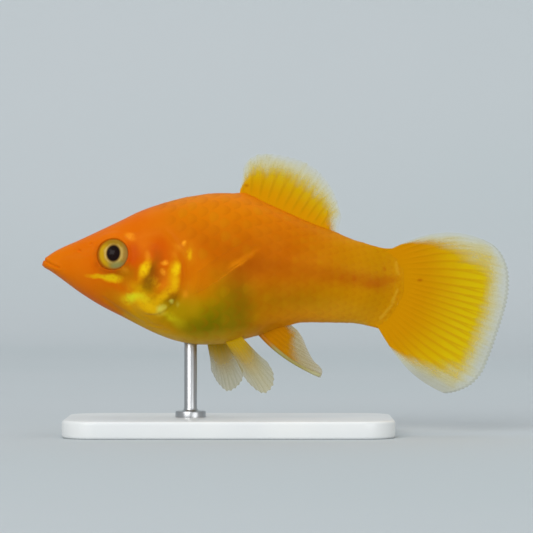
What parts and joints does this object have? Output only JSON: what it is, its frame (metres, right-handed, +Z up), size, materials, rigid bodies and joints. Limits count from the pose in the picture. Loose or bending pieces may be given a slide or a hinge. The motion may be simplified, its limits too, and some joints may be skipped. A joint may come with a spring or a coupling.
{
  "type": "gold molly fish model",
  "caption": "Life-size still model of a male gold molly: deep orange-gold body, gill covers, eyes and rayed fins, held over a flat base by a short rod.",
  "frame": {"origin": "centre of the whole model's outline in plan, on the underside of the stand's base", "axes": "+Z up, -X the way the fish swims (the length of the fish lies along X), -Y the fish's left side"},
  "size_m": [0.08, 0.03, 0.0479],
  "materials": {
    "orange_skin": "scaled, wet-looking orange-gold skin",
    "gill_gold": "smooth orange skin with shiny yellow-gold patches",
    "yellow_fin": "rayed, translucent yellow-orange membrane with a clear margin",
    "pale_fin": "rayed, translucent pale yellow membrane",
    "eye": "pale gold iris and black pupil under a clear, glossy surface",
    "white_base": "satin off-white plate",
    "brushed_steel": "brushed, turned rod"
  },
  "bodies": {
    "root": {"head": "orange_skin", "lower_jaw": "orange_skin", "trunk": "orange_skin", "tail_stalk": "orange_skin", "gill_cover_left": "gill_gold", "gill_cover_right": "gill_gold", "eye_left": "eye", "eye_right": "eye", "caudal_fin": "yellow_fin", "dorsal_fin": "yellow_fin", "anal_fin": "yellow_fin", "pelvic_fin_left": "pale_fin", "pelvic_fin_right": "pale_fin", "pectoral_fin_left": "pale_fin", "pectoral_fin_right": "pale_fin", "stand_base": "white_base", "stand_rod": "brushed_steel"}
  },
  "joints": []
}
